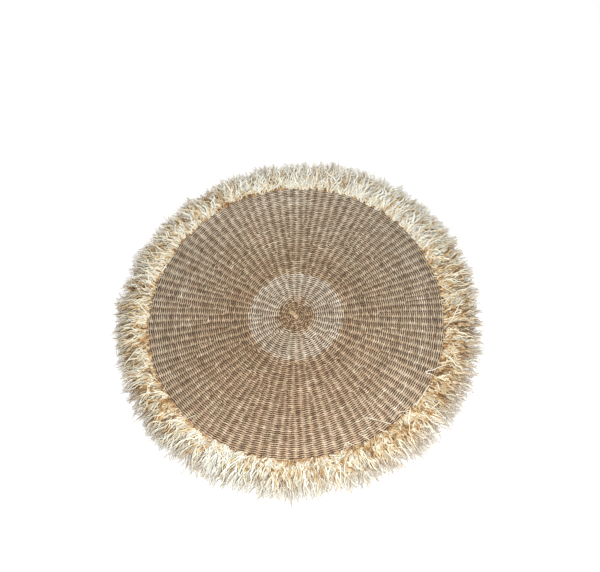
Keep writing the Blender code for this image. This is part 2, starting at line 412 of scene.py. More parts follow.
def twist_ridges(tree, turn_length):
    """Height of a two-ply cord's ridges: they run round the section as they go along the cord."""
    add = partial(add_node, tree)
    run = add("ShaderNodeAttribute", attribute_name="run").outputs["Fac"]
    section = add("ShaderNodeAttribute", attribute_name="section").outputs["Vector"]
    sides = add("ShaderNodeSeparateXYZ", (section,)).outputs
    around = add("ShaderNodeMath", (sides["Y"], sides["X"]), operation="ARCTAN2")
    twist = add("ShaderNodeMath", (run, math.tau / turn_length, around), operation="MULTIPLY_ADD")
    two_plies = add("ShaderNodeMath", (twist, 2.0), operation="MULTIPLY")
    return add("ShaderNodeMath", (two_plies,), operation="SINE")


def grass_cord(name, shades, patches=(), fades=()):
    """Twisted grass cord: dull, each length in its own shade, with soft patches of wear over many rows, and
    broad tints over the mat, two of them painted shade that darkens its left and right sides.
    """
    material, tree, shader = new_material(name, 0.78)
    add = partial(add_node, tree)
    place = add("ShaderNodeTexCoord").outputs["Object"]
    tone = add("ShaderNodeAttribute", attribute_name="tone").outputs["Fac"]
    colour = shade_ramp(tree, tone, shades)
    stains_and_shade = []
    for patch in patches:
        spots = {"Vector": place, "W": patch.number, "Scale": 1 / patch.width, "Detail": 3.0}
        spread = add("ShaderNodeTexNoise", spots, noise_dimensions="4D")
        strength = add("ShaderNodeMapRange", (spread, 0.42, 0.62, 0.0, patch.strength))
        stains_and_shade.append((strength, patch.colour))
    # Broad tints over the mat; those that darken its sides are painted shade.
    for fade in fades:
        run = add("ShaderNodeVectorMath", (place, fade.vector), operation=fade.operation)
        strength = add("ShaderNodeMapRange", (run, fade.start, fade.end, 1.0, 0.0))
        stains_and_shade.append((strength, fade.colour))
    for strength, stain_and_shade_colour in stains_and_shade:
        mixed = (strength, colour, linear(stain_and_shade_colour))
        stained_and_shaded = add("ShaderNodeMix", mixed, data_type="RGBA", blend_type="MULTIPLY")
        colour = next(s for s in stained_and_shaded.outputs if s.enabled)
    tree.links.new(colour, shader.inputs["Base Color"])
    fibres = add("ShaderNodeTexNoise", {"Vector": place, "Scale": 1 / FIBRE_WIDTH})
    ridges = twist_ridges(tree, CORD_TWIST)
    height = add("ShaderNodeMath", (ridges, 0.5, fibres), operation="MULTIPLY_ADD")
    bump = add("ShaderNodeBump", {"Height": height, "Strength": 0.5, "Distance": 0.0006})
    tree.links.new(bump.outputs["Normal"], shader.inputs["Normal"])
    return material


plain_cord = cord_tree()
grass = grass_cord("twisted_grass_cord", GRASS_SHADES, GRASS_PATCHES, GRASS_FADES_AND_PAINTED_SHADE)
spoke_rows = lay_spokes()
paths = {}
for row, spokes in enumerate(spoke_rows):
    for spoke, angle in spokes:
        paths.setdefault(spoke, []).append(beside_middle(angle, row_radius(row, angle), SPOKE_HEIGHT))
points, edges, thickness, run, tone = [], [], [], [], []
for spoke, path in paths.items():
    kept = path[:-1:SPOKE_STRIDE] + path[-1:]
    edges += chain(len(kept), len(points))
    points += kept
    thickness += [0.5] + [1.0] * (len(kept) - 2) + [0.7]
    run += [(point - MAT_MIDDLE).length for point in kept]
    tone += [spoke_random.uniform(*SPOKE_TONES)] * len(kept)
guide = guide_line("spoke_lines", points, edges, thickness=thickness, run=run, tone=tone)
spokes = made_by(plain_cord, "spokes", guide, **SPOKE_CORD, Finish=grass)
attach(spokes, "root")

# Twined rows. Two grass cords twine outwards in one spiral: at each spoke one passes over and the other
# under, and between two spokes they swap. Brown middle, pale ring and brown field are one weave: each
# strand changes its cord in its own place. It is cut only where a piece would grow too large.
Zone = namedtuple("Zone", "name first_row last_row")
ZONES = (
    Zone("twined_middle", 0, 8),
    Zone("twined_pale_ring", 9, 21),
    Zone("twined_field_inner", 22, 42),
    Zone("twined_field_middle", 43, 56),
    Zone("twined_field_outer", 57, 69),
)
PaleCord = namedtuple("PaleCord", "first_turn last_turn")
PALE_CORDS = (PaleCord(7.0, 22.0), PaleCord(9.3, 21.3))
STRAND = {"Width": 0.0047, "Height": 0.0042, "Lift": 0.0029, "Swing": 0.0014, "Sides": 6}
STRAND_FLATNESS = 1.15
STRAND_SPREAD = 1.22
PINCHED_SHARE = 0.84
SPREAD_SHARE = 1.28
FULLNESS = (0.86, 1.12)
WEAVE_HEIGHT = 0.0050
STEPS_PER_SPOKE = 4
SPOKE_SLIP = 0.0012
ROW_SLIP = 0.0004
CORD_LENGTH = 1.1
CORD_TONES = (0.525, 0.07)
STITCH_TONES = 0.085
# Painted shade where a strand presses on a spoke.
PINCH_PAINTED_SHADE = -0.21
TONE_LIMITS = (0.1, 0.96)
INNER_TONE = -0.16
OUTER_TONE = 0.06
weave_random = random.Random(23)
Stitch = namedtuple("Stitch", "row angle gap turns")


def spiral_stitches():
    """Each place where the pair of strands crosses a spoke, from the middle outwards."""
    stitches = []
    for row in range(ROWS):
        slip = SPOKE_SLIP / row_radius(row, 0.0)
        angles = [angle + weave_random.uniform(-slip, slip) for spoke, angle in spoke_rows[row]]
        for angle, following in zip(angles, angles[1:] + [angles[0] + math.tau]):
            stitches.append(Stitch(row, angle, following - angle, row + (angle - angles[0]) / math.tau))
    return stitches


def cord_tones(run, turns, pale_cord):
    """Shade of a strand along its run: one for each length of cord, a little more for each stitch, and a
    darker one where it presses on a spoke, painted shade, so that the spokes show as lines from the middle
    outwards.
    Brown cord has shades up to a half, and pale cord from there up."""
    tones, left = [], 0.0
    for number, (this, following, turn) in enumerate(zip(run, run[1:] + run[-1:], turns)):
        if left <= 0:
            left = CORD_LENGTH * weave_random.uniform(0.3, 1.7)
            cord_tone = weave_random.gauss(*CORD_TONES)
        if number % STEPS_PER_SPOKE == 0:
            stitch_tone = weave_random.gauss(0, STITCH_TONES)
        left -= following - this
        is_pale = pale_cord.first_turn < turn < pale_cord.last_turn
        worn = INNER_TONE + (OUTER_TONE - INNER_TONE) * turn / ROWS
        # Painted shade at each spoke.
        pinch_shade = PINCH_PAINTED_SHADE if number % STEPS_PER_SPOKE == 0 else 0
        shade = cord_tone + stitch_tone + pinch_shade + (0 if is_pale else worn)
        shade = min(max(shade, TONE_LIMITS[0]), TONE_LIMITS[1])
        tones.append((shade + is_pale) / 2)
    return tones


def twining_tree():
    """Two strands that wind round each other along a guide, half a turn from one spoke to the next."""
    sizes = ["Width", "Height", "Lift", "Swing"]
    tree, given = new_tree("twined_pair", Float=sizes, Int=["Sides"], Vector=["Middle"], Material=["Finish"])
    add = partial(add_node, tree)
    maths, vector_maths = "ShaderNodeMath", "ShaderNodeVectorMath"
    line = add("GeometryNodeMeshToCurve", (given["Geometry"],))
    place = add("GeometryNodeInputPosition")
    from_middle = add(vector_maths, (place, given["Middle"]), operation="SUBTRACT")
    level = add(vector_maths, (from_middle, (1, 1, 0)), operation="MULTIPLY")
    outward = add(vector_maths, (level,), operation="NORMALIZE")
    turning, fullness, *tones = (
        add("GeometryNodeInputNamedAttribute", (label,))
        for label in ("turning", "fullness", "tone_0", "tone_1")
    )
    both = add("GeometryNodeJoinGeometry")
    for strand, tone in enumerate(tones):
        turn = add(maths, (turning, strand * math.pi), operation="ADD")
        over = add(maths, (turn,), operation="SINE")
        over = add(maths, (over, STRAND_FLATNESS), operation="MULTIPLY")
        over = add("ShaderNodeClamp", (over, -1.0, 1.0))
        aside = add(maths, (turn,), operation="COSINE")
        aside = add(maths, (aside, STRAND_SPREAD), operation="MULTIPLY")
        aside = add("ShaderNodeClamp", (aside, -1.0, 1.0))
        lift = add(maths, (over, given["Lift"]), operation="MULTIPLY")
        swing = add(maths, (aside, given["Swing"]), operation="MULTIPLY")
        sideways = add(vector_maths, (outward, swing), operation="SCALE")
        upward = add("ShaderNodeCombineXYZ", (0.0, 0.0, lift))
        offset = add(vector_maths, (sideways, upward), operation="ADD")
        strand_line = add("GeometryNodeSetPosition", {"Geometry": line, "Offset": offset})
        strand_line = add("GeometryNodeSetCurveNormal", (strand_line,), mode="Z_UP")
        strand_line = add("GeometryNodeStoreNamedAttribute", (strand_line, True, "tone", tone))
        spread = add(maths, (aside,), operation="ABSOLUTE")
        thickness = add("ShaderNodeMapRange", (spread, 0.0, 1.0, PINCHED_SHARE, SPREAD_SHARE))
        thickness = add(maths, (thickness, fullness), operation="MULTIPLY")
        cord = sweep(tree, strand_line, given, thickness)
        tree.links.new(cord.outputs["Geometry"], both.inputs["Geometry"])
    return end_tree(tree, both, given["Finish"])


twined_pair = twining_tree()
stitches = spiral_stitches()
slips = [weave_random.uniform(-ROW_SLIP, ROW_SLIP) for stitch in stitches] + [0.0]
points, turning, run, rows, turns, fullness = [], [], [], [], [], []
for number, stitch in enumerate(stitches):
    for step in range(STEPS_PER_SPOKE):
        share = step / STEPS_PER_SPOKE
        angle = stitch.angle + stitch.gap * share
        turns.append(stitch.turns + stitch.gap * share / math.tau)
        slip = slips[number] + (slips[number + 1] - slips[number]) * share
        points.append(beside_middle(angle, row_radius(turns[-1], angle) + slip, WEAVE_HEIGHT))
        turning.append(math.pi * (number + 0.5 + share))
        rows.append(stitch.row)
        run.append(run[-1] + (points[-1] - points[-2]).length if run else 0.0)
        fullness.append(weave_random.uniform(*FULLNESS) if step in (0, 2) else fullness[-1])
tones = [cord_tones(run, turns, pale_cord) for pale_cord in PALE_CORDS]
for zone in ZONES:
    chosen = slice(rows.index(zone.first_row), len(rows) - rows[::-1].index(zone.last_row))
    guide = guide_line(
        "row_line",
        points[chosen],
        chain(len(points[chosen])),
        turning=turning[chosen],
        run=run[chosen],
        fullness=fullness[chosen],
        tone_0=tones[0][chosen],
        tone_1=tones[1][chosen],
    )
    twined = made_by(twined_pair, zone.name, guide, **STRAND, Middle=MAT_MIDDLE, Finish=grass)
    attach(twined, "root")

# Start knot. The maker began the mat with one thick knot of pale grass cord that lies a little raised
# across the middle. It is the same twining as the rows, with thicker strands.
KNOT_MIDDLE = MAT_MIDDLE + Vector((-0.008, 0.006, 0.0095))
KNOT_TURN = math.radians(-52)
KNOT_LENGTH = 0.048
KNOT_BOW = 0.003
KNOT_DROOP = 0.0045
KNOT_TAPER = 0.35
KNOT_STRAND = {"Width": 0.0105, "Height": 0.0056, "Lift": 0.0009, "Swing": 0.0036, "Sides": 8}
# Tone of each strand at one end, and what it gains towards the other.
KNOT_TONES = ((0.21, 0.10), (0.27, 0.04))
KNOT_HALF_TURNS = 4
KNOT_STEPS = 20

along_knot = Vector((math.cos(KNOT_TURN), math.sin(KNOT_TURN), 0.0))
across_knot = Vector((-math.sin(KNOT_TURN), math.cos(KNOT_TURN), 0.0))
shares = [step / KNOT_STEPS for step in range(KNOT_STEPS + 1)]
points = []
for share in shares:
    along = along_knot * KNOT_LENGTH * (share - 0.5)
    across = across_knot * KNOT_BOW * math.sin(math.pi * share)
    points.append(KNOT_MIDDLE + along + across - Vector((0.0, 0.0, KNOT_DROOP * (2 * share - 1) ** 4)))
first_tone, second_tone = ([start + gain * share for share in shares] for start, gain in KNOT_TONES)
guide = guide_line(
    "knot_line",
    points,
    chain(len(points)),
    turning=[math.pi * KNOT_HALF_TURNS * share for share in shares],
    run=[KNOT_LENGTH * share for share in shares],
    fullness=[1.0 - KNOT_TAPER * (2 * share - 1) ** 4 for share in shares],
    tone_0=first_tone,
    tone_1=second_tone,
)
knot_side = KNOT_MIDDLE - across_knot
start_knot = made_by(twined_pair, "start_knot", guide, **KNOT_STRAND, Middle=knot_side, Finish=grass)
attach(start_knot, "root")

# Rim cord. The last row is bound with a thin cord of orange-brown bark fibre. The fringe's knots hide it
# but for the left side and two short stretches, where they sit further out.
RIM_CORD = {"Width": 0.0042, "Height": 0.0042, "Sides": 6}
RIM_CORD_HEIGHT = 0.0082
RIM_CORD_OUTSET = -0.0034
RIM_CORD_STEPS = 260
BARK_SHADES = ((0.0, "#5B4330"), (0.5, "#8D6B4A"), (1.0, "#B99773"))


def rim_circle(steps, outset, height):
    """Directions all round, points at an outset from the rim, and the edges that close them to a ring."""
    angles = [math.tau * step / steps for step in range(steps)]
    points = [beside_middle(angle, rim_radius(angle) + outset, height) for angle in angles]
    return angles, points, chain(steps) + [(steps - 1, 0)]


bark_fibre = grass_cord("twisted_bark_fibre", BARK_SHADES)
angles, points, edges = rim_circle(RIM_CORD_STEPS, RIM_CORD_OUTSET, RIM_CORD_HEIGHT)
guide = guide_line(
    "rim_line",
    points,
    edges,
    thickness=[spoke_random.uniform(0.75, 1.1) for angle in angles],
    run=[angle * MAT_RADIUS for angle in angles],
    tone=[0.5 + 0.3 * math.sin(7 * angle) * math.sin(3 * angle + 1) for angle in angles],
)
rim_cord = made_by(plain_cord, "rim_cord", guide, **RIM_CORD, Finish=bark_fibre)
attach(rim_cord, "root")

# Fringe. Bundles of raffia strips are knotted over the rim all the way round and fan up and out. A low
# brown layer drops to the floor, its brown partly painted shade for the gaps under the rest; cream strips
# arch over it, and fine split fibres stand between them. Each strip is a thin crinkled ribbon, one of a few
# kinds; a node tree sets them along the rim, each different.
StripKind = namedtuple("StripKind", "name count width roll crinkle_mm heights_mm")
STRIP_KINDS = (
    StripKind("low", 9, 1.90, 40, 1.0, (10.5, 9.5, 6.0, 4.0, 3.0, 2.2, 1.5)),
    StripKind("middle", 7, 1.22, 110, 2.4, (11.0, 13.5, 15.5, 16.0, 14.5, 12.5, 10.0, 8.0, 6.0, 4.5)),
    StripKind("high", 5, 1.16, 150, 2.8, (11.0, 15.0, 19.0, 22.0, 24.0, 24.0, 22.5, 20.5, 18.0, 15.5, 13.0)),
    StripKind("fibre", 7, 0.32, 90, 2.4, (11.0, 15.5, 19.5, 21.0, 19.0, 16.5, 14.0, 11.5, 9.5)),
)
STRIP_LENGTH = 0.140
STRIP_WIDTH = 0.0042
STRIP_THICKNESS = 0.0007
STRIP_BOW = 0.008
STRIP_DRIFT = 0.016
STRIP_CRINKLE = 0.0045
STRIP_TAPER = 0.88
ROOT_WIDTH = 0.7
HELD_SHARE = 0.15
STRIPS_PER_ARC = 780
TUFTS_PER_ARC = 19
TUFT_GATHER = 0.68
TUFT_FAN = 0.50
ARCS = 8
ARC_STEPS = 60
# A stretch's brown is above nought where its strips are browner, and below nought where they are paler.
Reach = namedtuple("Reach", "angle_deg past_rim root_outset brown")
REACHES = (
    Reach(0, 0.1335, -0.0050, 0.42),
    Reach(30, 0.1385, -0.0060, -0.38),
    Reach(60, 0.1375, -0.0015, -0.52),
    Reach(90, 0.1230, 0.0010, -0.42),
    Reach(120, 0.1155, 0.0045, 0.14),
    Reach(150, 0.1285, -0.0035, 0.10),
    Reach(180, 0.1280, 0.0010, 0.40),
    Reach(210, 0.1435, 0.0040, 0.60),
    Reach(240, 0.1535, 0.0030, -0.60),
    Reach(270, 0.1560, 0.0045, 0.00),
    Reach(300, 0.1710, 0.0040, 0.98),
    Reach(330, 0.1500, 0.0095, 0.82),
)
# Whole locks lie over to one side, by so much at this distance from their roots.
LEAN_WAVES = (Wave(5, 0.007, 0.0), Wave(9, 0.006, 110.0), Wave(17, 0.004, 30.0))
LEAN_REACH = 0.1
Ripple = namedtuple("Ripple", "per_metre height")
SHARED_RIPPLE = Ripple(30.0, 0.034)
OWN_RIPPLE = Ripple(58.0, 0.025)
LEAST_HEIGHT = 0.0003
RAFFIA_SHADES = (
    (0.00, "#C1BFB4"),
    (0.32, "#BAB29A"),
    (0.60, "#AA9168"),
    (0.80, "#946D3E"),
    (1.00, "#553B20"),
)
TIP_GREY = "#B9B6AD"
TIPS_FROM_RIM = (0.080, 0.150)
BROWN_AND_SHADE_PATCH = 0.028
fringe_random = random.Random(41)


def strip_ribbon(name, kind):
    """One closed raffia ribbon along X, crinkled as it dried: four points round each of its rings."""
    bow = fringe_random.uniform(-STRIP_BOW, STRIP_BOW)
    drift = fringe_random.uniform(-STRIP_DRIFT, STRIP_DRIFT)
    first_roll = math.radians(fringe_random.uniform(-25, 25))
    roll = math.radians(fringe_random.uniform(-kind.roll, kind.roll))
    shares = [ring / (len(kind.heights_mm) - 1) for ring in range(len(kind.heights_mm))]
    spine = []
    for share, height in zip(shares, kind.heights_mm):
        freedom = min(share / HELD_SHARE, 1.0)
        aside = bow * math.sin(math.pi * share) + drift * share * share
        aside += freedom * fringe_random.uniform(-STRIP_CRINKLE, STRIP_CRINKLE)
        height += freedom * fringe_random.uniform(-kind.crinkle_mm, kind.crinkle_mm)
        spine.append(Vector((STRIP_LENGTH * share, aside, max(height, 0.8) / 1000)))
    points, along, across = [], [], []
    for ring, share in enumerate(shares):
        ahead = (spine[min(ring + 1, len(spine) - 1)] - spine[max(ring - 1, 0)]).normalized()
        side = Vector((0, 0, 1)).cross(ahead).normalized()
        over = ahead.cross(side)
        turn = first_roll + roll * share
        wide = side * math.cos(turn) + over * math.sin(turn)
        thick = over * math.cos(turn) - side * math.sin(turn)
        half_width = 0.5 * STRIP_WIDTH * kind.width
        half_width *= min(ROOT_WIDTH + 2 * share, 1.0) * (1.0 - STRIP_TAPER * share**3)
        half_thickness = 0.5 * STRIP_THICKNESS
        for u, v in ((-1, -1), (1, -1), (1, 1), (-1, 1)):
            points.append(spine[ring] + wide * u * half_width + thick * v * half_thickness)
            along.append(share)
            across.append(u)
    faces = [(3, 2, 1, 0)]
    for ring in range(len(shares) - 1):
        for side in range(4):
            here, there = ring * 4 + side, ring * 4 + (side + 1) % 4
            faces.append((here, there, there + 4, here + 4))
    faces.append(tuple(range(len(points) - 4, len(points))))
    mesh = bpy.data.meshes.new(name)
    mesh.from_pydata(points, [], faces)
    mesh.attributes.new("along", "FLOAT", "POINT").data.foreach_set("value", along)
    mesh.attributes.new("across", "FLOAT", "POINT").data.foreach_set("value", across)
    return bpy.data.objects.new(name, mesh)


def reach_at(angle):
    """Reach past the rim, outset of the roots and brownness in a direction."""
    degrees = math.degrees(angle) % 360
    for here, there in zip(REACHES, REACHES[1:] + (REACHES[0]._replace(angle_deg=360),)):
        if here.angle_deg <= degrees <= there.angle_deg:
            share = (degrees - here.angle_deg) / (there.angle_deg - here.angle_deg)
            blend = 0.5 - 0.5 * math.cos(math.pi * share)
            return Vector(a + (b - a) * blend for a, b in zip(here[1:], there[1:]))


def fringe_tree():
    """Set ribbons along a stretch of rim, then let neighbours wave together, more towards their tips."""
    tree, given = new_tree(
        "raffia_fringe",
        Int=["Strips", "Tufts", "Last Kind", "Low Kinds", "Number"],
        Float=["Gather", "Fan", "Length"],
        Collection=["Kinds"],
        Material=["Finish"],
    )
    add = partial(add_node, tree)
    maths, vector_maths = "ShaderNodeMath", "ShaderNodeVectorMath"
    draw, named = "FunctionNodeRandomValue", "GeometryNodeInputNamedAttribute"

    # Places along the rim, gathered into bundles, with what the guide says there.
    rim = add("GeometryNodeMeshToCurve", (given["Geometry"],))
    index = add("GeometryNodeInputIndex")
    strip = add(maths, (given["Number"], 5000.0, index), operation="MULTIPLY_ADD")
    jitter = add(draw, (-1.0, 1.0, strip, 1))
    share = add(maths, (index, jitter), operation="ADD")
    share = add(maths, (share, given["Strips"]), operation="DIVIDE")
    share = add(maths, (share, 1.0), operation="PINGPONG")
    in_tufts = add(maths, (share, given["Tufts"]), operation="MULTIPLY")
    whole_tufts = add(maths, (in_tufts,), operation="FLOOR")
    aside = add(maths, (in_tufts,), operation="FRACT")
    aside = add(maths, (aside, 0.5), operation="SUBTRACT")
    tuft = add(maths, (given["Number"], 500.0, whole_tufts), operation="MULTIPLY_ADD")
    tuft_shift = add(draw, (0.28, 0.72, tuft, 16))
    tuft_middle = add(maths, (whole_tufts, tuft_shift), operation="ADD")
    share = add(maths, (aside, given["Gather"], tuft_middle), operation="MULTIPLY_ADD")
    share = add(maths, (share, given["Tufts"]), operation="DIVIDE")
    growth = add(named, ("growth",), data_type="FLOAT_VECTOR")
    place = add("GeometryNodeSampleCurve", (rim, growth, share), mode="FACTOR", data_type="FLOAT_VECTOR")
    reach, outset, brown = add("ShaderNodeSeparateXYZ", (place.outputs["Value"],)).outputs
    lean = add(named, ("lean",))
    lean = add("GeometryNodeSampleCurve", (rim, lean, share), mode="FACTOR")
    outward = add(vector_maths, (place.outputs["Tangent"], (0, 0, 1)), operation="CROSS_PRODUCT")

    # Roots, a little uneven.
    own_outset = add(draw, (-0.0070, 0.0040, strip, 2))
    tuft_outset = add(draw, (-0.0080, 0.0060, tuft, 3))
    outset = add(maths, (outset, own_outset), operation="ADD")
    outset = add(maths, (outset, tuft_outset), operation="ADD")
    sideways = add(vector_maths, (outward, outset), operation="SCALE")
    root = add(vector_maths, (place.outputs["Position"], sideways), operation="ADD")
    points = add("GeometryNodePoints", (given["Strips"], root))

    # Which way each strip goes. A bundle fans out, and leans as a whole.
    own_yaw = add(draw, (-0.48, 0.48, strip, 4))
    tuft_yaw = add(draw, (-0.20, 0.20, tuft, 5))
    wild_yaw = add(draw, (-1.0, 1.0, strip, 6))
    wild_yaw = add(maths, (wild_yaw, 5.0), operation="POWER")
    yaw = add(maths, (own_yaw, tuft_yaw), operation="ADD")
    yaw = add(maths, (yaw, lean), operation="ADD")
    yaw = add(maths, (aside, given["Fan"], yaw), operation="MULTIPLY_ADD")
    yaw = add(maths, (wild_yaw, 0.80, yaw), operation="MULTIPLY_ADD")
    pitch = add(draw, (-0.035, 0.010, strip, 7))
    turn = add("ShaderNodeCombineXYZ", (0.0, pitch, yaw))
    turn = add("FunctionNodeEulerToRotation", (turn,))
    facing = add("FunctionNodeAxesToRotation", ((0, 0, 1), outward), primary_axis="Z", secondary_axis="X")
    facing = add("FunctionNodeRotateRotation", (facing, turn), rotation_space="LOCAL")

    # How long, wide and high each strip is.
    tuft_length = add(draw, (0.94, 1.06, tuft, 8))
    own_length = add(draw, (0.15, 1.35, strip, 9))
    own_length = add(maths, (own_length, 0.40), operation="POWER")
    length = add(maths, (reach, own_length), operation="MULTIPLY")
    length = add(maths, (length, tuft_length), operation="MULTIPLY")
    length = add(maths, (length, given["Length"]), operation="DIVIDE")
    width = add(draw, (0.65, 1.25, strip, 10))
    height = add(draw, (0.80, 1.15, strip, 11))
    size = add("ShaderNodeCombineXYZ", (length, width, height))
    kind = add(draw, (0, given["Last Kind"], strip, 12), data_type="INT")
    ribbons = add("GeometryNodeCollectionInfo", (given["Kinds"], True, True))
    strips = add("GeometryNodeInstanceOnPoints", (points, True, ribbons, True, kind, facing, size))

    # Shade of each strip: low ones and those of a brown stretch are browner. For the low ones this is partly
    # painted shade, for the gaps under the strips above them.
    own_tone = add(draw, (0.0, 1.0, strip, 13))
    own_tone = add(maths, (own_tone, 3.0), operation="POWER")
    tuft_tone = add(draw, (-0.15, 0.15, tuft, 14))
    is_low = add(maths, (kind, given["Low Kinds"]), operation="LESS_THAN")
    tone = add(maths, (own_tone, 0.80, tuft_tone), operation="MULTIPLY_ADD")
    # The low strips' extra brown is partly painted shade of the gaps beneath the upper strips.
    low_tone_and_shade = add(maths, (brown, 0.45, 0.28), operation="MULTIPLY_ADD")
    tone = add(maths, (is_low, low_tone_and_shade, tone), operation="MULTIPLY_ADD")
    tone = add(maths, (brown, 0.34, tone), operation="MULTIPLY_ADD")
    number = add(draw, (0.0, 100.0, strip, 15))
    for label, value in (("tone", tone), ("number", number)):
        kept = (strips, True, label, value)
        strips = add("GeometryNodeStoreNamedAttribute", kept, domain="INSTANCE")
    strips = add("GeometryNodeRealizeInstances", (strips,))

    # Waves: a wide one that neighbours share, and a smaller one of each strip's own.
    place = add("GeometryNodeInputPosition")
    along = add(named, ("along",))
    number = add(named, ("number",))
    swing = add(maths, (along, 1.4), operation="POWER")
    shared = add("ShaderNodeTexNoise", {"Vector": place, "Scale": SHARED_RIPPLE.per_metre, "Detail": 0.0})
    by_strip = {"Vector": place, "W": number, "Scale": OWN_RIPPLE.per_metre, "Detail": 0.0}
    own = add("ShaderNodeTexNoise", by_strip, noise_dimensions="4D")
    for wave, height in ((shared, SHARED_RIPPLE.height), (own, OWN_RIPPLE.height)):
        wave = add(vector_maths, (wave.outputs["Color"], (0.5, 0.5, 0.5)), operation="SUBTRACT")
        wave = add(vector_maths, (wave, (height, height, 0.0)), operation="MULTIPLY")
        wave = add(vector_maths, (wave, swing), operation="SCALE")
        strips = add("GeometryNodeSetPosition", {"Geometry": strips, "Offset": wave})
    along_x, along_y, height = add("ShaderNodeSeparateXYZ", (place,)).outputs
    height = add(maths, (height, LEAST_HEIGHT), operation="MAXIMUM")
    above_floor = add("ShaderNodeCombineXYZ", (along_x, along_y, height))
    strips = add("GeometryNodeSetPosition", {"Geometry": strips, "Position": above_floor})
    return end_tree(tree, strips, given["Finish"])


def raffia(name):
    """Dried raffia: cream to tan, streaked along its fibres, golden brown in patches, partly as painted
    shade of the deeper gaps, darker near the roots as painted shade, greyer far out.
    """
    material, tree, shader = new_material(name, 0.60)
    add = partial(add_node, tree)
    tone, number, along, across = (
        add("ShaderNodeAttribute", attribute_name=label).outputs["Fac"]
        for label in ("tone", "number", "along", "across")
    )
    place = add("ShaderNodeCombineXYZ", (along, across))
    stretched = add("ShaderNodeVectorMath", (place, (5.0, 2.5, 0.0)), operation="MULTIPLY")
    streaked = {"Vector": stretched, "W": number, "Scale": 1.0, "Detail": 3.0}
    fibres = add("ShaderNodeTexNoise", streaked, noise_dimensions="4D")
    streaks = add("ShaderNodeMapRange", (fibres, 0.0, 1.0, -0.35, 0.35))
    place = add("ShaderNodeTexCoord").outputs["Object"]
    # Golden brown patches: partly the raffia's own colour, partly painted shade of the deeper gaps.
    patches = add("ShaderNodeTexNoise", {"Vector": place, "Scale": 1 / BROWN_AND_SHADE_PATCH, "Detail": 1.0})
    brown_and_shade_patches = add("ShaderNodeMapRange", (patches, 0.50, 0.66, 0.0, 0.38))
    # Painted shade: darker near the roots.
    root_painted_shade = add("ShaderNodeMapRange", (along, 0.0, 0.25, 0.12, 0.0))
    shade = tone
    for darker in (streaks, brown_and_shade_patches, root_painted_shade):
        shade = add("ShaderNodeMath", (shade, darker), operation="ADD")
    from_middle = add("ShaderNodeVectorMath", (place, MAT_MIDDLE), operation="SUBTRACT")
    from_middle = add("ShaderNodeVectorMath", (from_middle,), operation="LENGTH")
    tips_start, tips_end = (MAT_RADIUS + past_rim for past_rim in TIPS_FROM_RIM)
    greyed_far_out = add("ShaderNodeMapRange", (from_middle, tips_start, tips_end, 0.0, 0.60))
    colour = shade_ramp(tree, shade, RAFFIA_SHADES)
    coloured = add("ShaderNodeMix", (greyed_far_out, colour, linear(TIP_GREY)), data_type="RGBA")
    tree.links.new(next(s for s in coloured.outputs if s.enabled), shader.inputs["Base Color"])
    bump = add("ShaderNodeBump", {"Height": fibres, "Strength": 0.4, "Distance": 0.0005})
    tree.links.new(bump.outputs["Normal"], shader.inputs["Normal"])
    return material


raffia_strip = raffia("dried_raffia")
strip_kinds = bpy.data.collections.new("strip_kinds")
for order, kind in enumerate(STRIP_KINDS):
    for number in range(kind.count):
        strip_kinds.objects.link(strip_ribbon(f"{order}_{kind.name}_{number}", kind))
last_kind = len(strip_kinds.objects) - 1
kinds = {"Kinds": strip_kinds, "Last Kind": last_kind, "Low Kinds": STRIP_KINDS[0].count}
bundles = {"Strips": STRIPS_PER_ARC, "Tufts": TUFTS_PER_ARC, "Gather": TUFT_GATHER, "Fan": TUFT_FAN}
raffia_fringe = fringe_tree()
for arc in range(ARCS):
    angles = [math.tau * (arc + step / ARC_STEPS) / ARCS for step in range(ARC_STEPS + 1)]
    points = [beside_middle(angle, rim_radius(angle), 0.0) for angle in angles]
    growth = [reach_at(angle) for angle in angles]
    lean = [wave_sum(LEAN_WAVES, angle) / LEAN_REACH for angle in angles]
    guide = guide_line("rim_stretch", points, chain(len(points)), growth=growth, lean=lean)
    inputs = {**kinds, **bundles, "Length": STRIP_LENGTH, "Number": arc, "Finish": raffia_strip}
    fringe = made_by(raffia_fringe, f"fringe_strips_{arc + 1}", guide, **inputs)
    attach(fringe, "root")
    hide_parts(f"fringe_{arc + 1}")

# Root loops. Each bundle is folded over the last row, round a flat hank of raffia laid along the rim, and
# tied with its own strips: short loops, two or three side by side, arch from the mat over its edge.
LOOP = {"Width": 0.0054, "Height": 0.0030, "Sides": 6}
LOOPS_PER_TUFT = 3
LOOP_PLACES = ((-0.007, 10.0), (-0.003, 12.6), (0.003, 13.6), (0.010, 12.2), (0.016, 9.5))
LOOP_SCATTER = 0.0105
LOOP_SKEW = 0.010
LOOP_OUTSETS = (-0.008, 0.004)
LOOP_TONES = (0.25, 0.75)
LOOP_END = 0.55
CARRIER = {"Width": 0.018, "Height": 0.005, "Sides": 8}
CARRIER_OUTSET = 0.0075
CARRIER_MIDDLE = 0.0050
CARRIER_STEPS = 208

